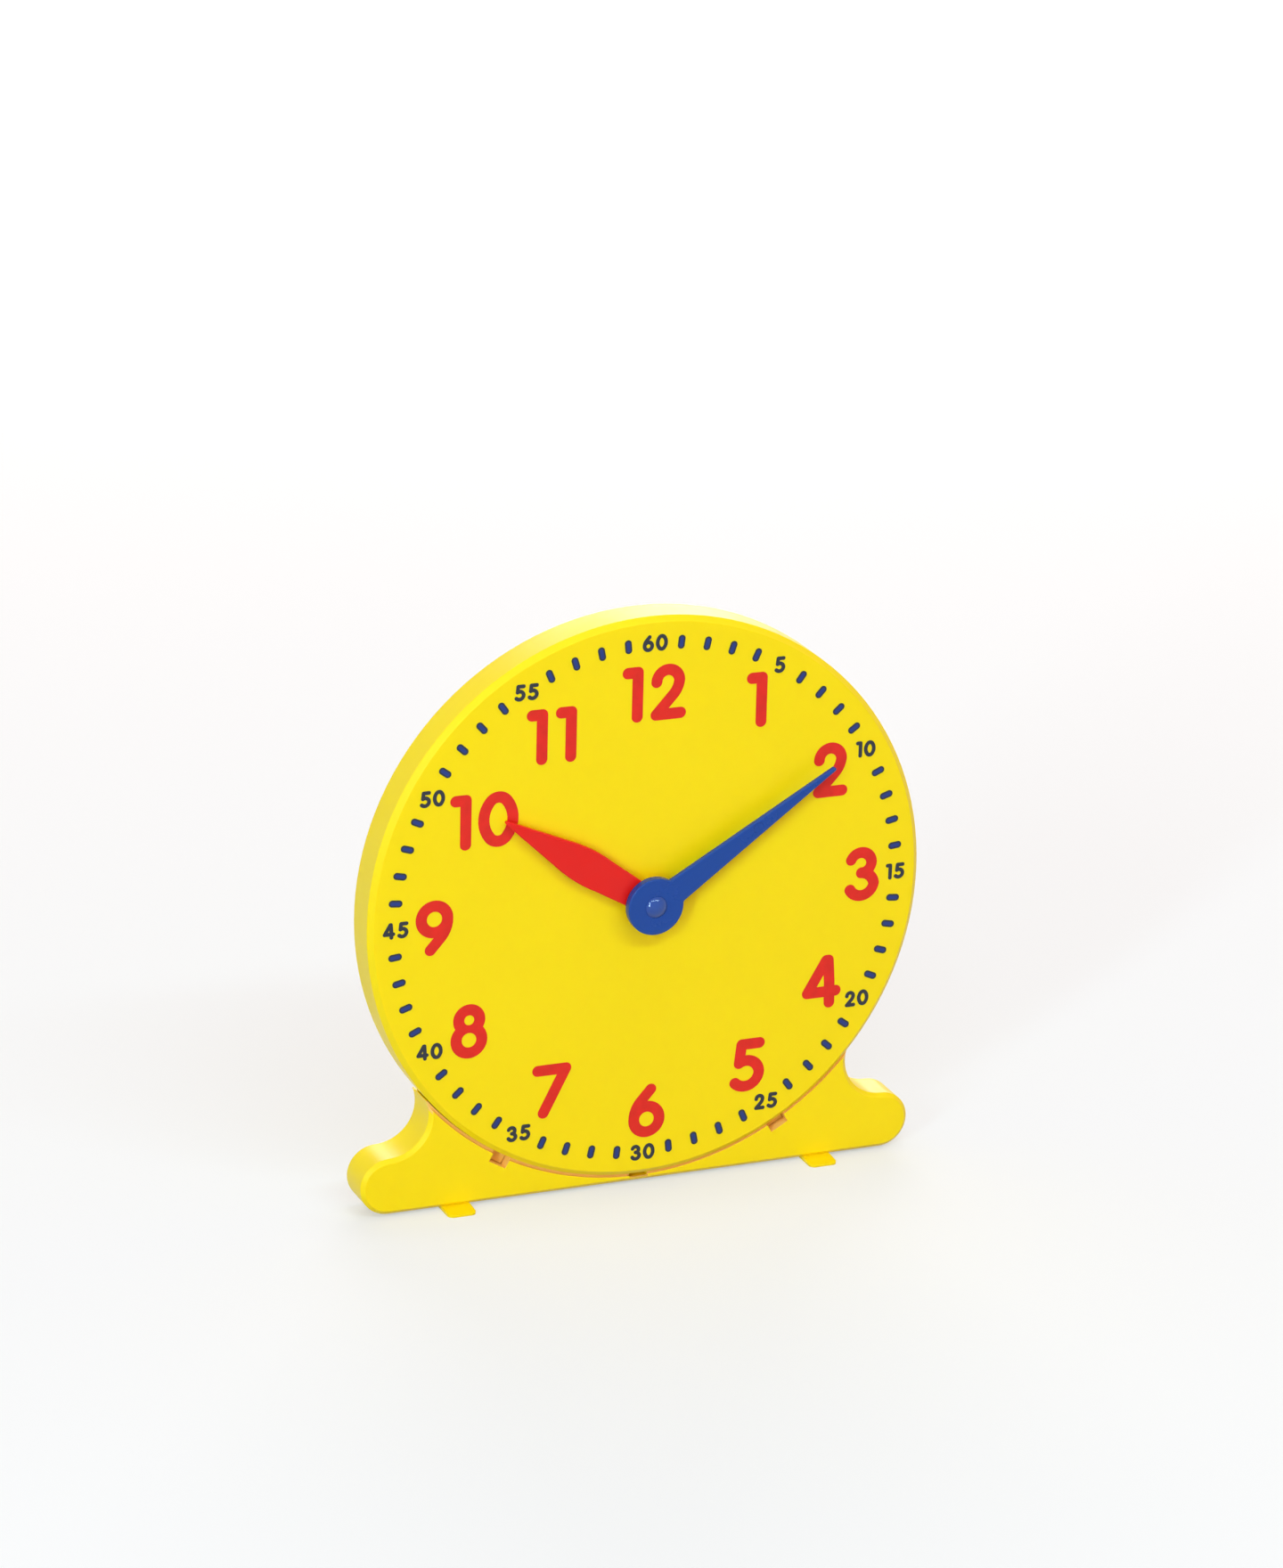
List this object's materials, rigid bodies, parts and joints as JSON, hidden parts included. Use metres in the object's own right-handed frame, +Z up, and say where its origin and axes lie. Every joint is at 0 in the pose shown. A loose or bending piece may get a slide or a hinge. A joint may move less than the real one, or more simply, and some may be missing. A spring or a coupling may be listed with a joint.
{
  "type": "geared teaching clock",
  "caption": "Round yellow teaching clock on a flat stand, with a red hour hand geared to a blue minute hand, and two feet that plug in.",
  "frame": {"origin": "on the table, in the middle of the clock's width and depth", "axes": "+Z up, -Y is the side with the dial, +X to the reader's right"},
  "size_m": [0.242, 0.072, 0.2455],
  "materials": {
    "yellow_moulding": "satin gloss",
    "blue_moulding": "satin gloss",
    "red_moulding": "satin gloss",
    "natural_plastic": "satin",
    "zinc_steel": "zinc plated",
    "bright_steel": "bright drawn"
  },
  "bodies": {
    "clock_case": {"dial_shell": "yellow_moulding", "back_cover": "yellow_moulding", "cover_screws": "zinc_steel", "gear_plate": "natural_plastic", "plate_screws": "zinc_steel", "lay_axle": "bright_steel", "friction_spring": "bright_steel", "stand_base": "yellow_moulding", "foot_left": "yellow_moulding", "foot_right": "yellow_moulding"},
    "minute_train": {"minute_arbor": "natural_plastic", "minute_hand": "blue_moulding", "hand_screw": "zinc_steel", "hand_cap": "blue_moulding"},
    "hour_train": {"hour_wheel": "natural_plastic", "hour_hand": "red_moulding"},
    "lay_train": {"lay_gear": "natural_plastic"}
  },
  "joints": [
    {"name": "minute_turn", "type": "hinge", "parent": "clock_case", "child": "minute_train", "pos_m": [0, -0.02555, 0.1255], "axis": [0, 1, 0], "continuous": true},
    {"name": "hour_turn", "type": "hinge", "parent": "clock_case", "child": "hour_train", "pos_m": [0, -0.02555, 0.1255], "axis": [0, 1, 0], "continuous": true},
    {"name": "lay_turn", "type": "hinge", "parent": "clock_case", "child": "lay_train", "pos_m": [0, -0.02555, 0.0955], "axis": [0, 1, 0], "continuous": true}
  ],
  "couplings": [
    {"joint": "hour_turn", "follows": "minute_turn", "ratio": 0.083333},
    {"joint": "lay_turn", "follows": "minute_turn", "ratio": -0.33333}
  ]
}
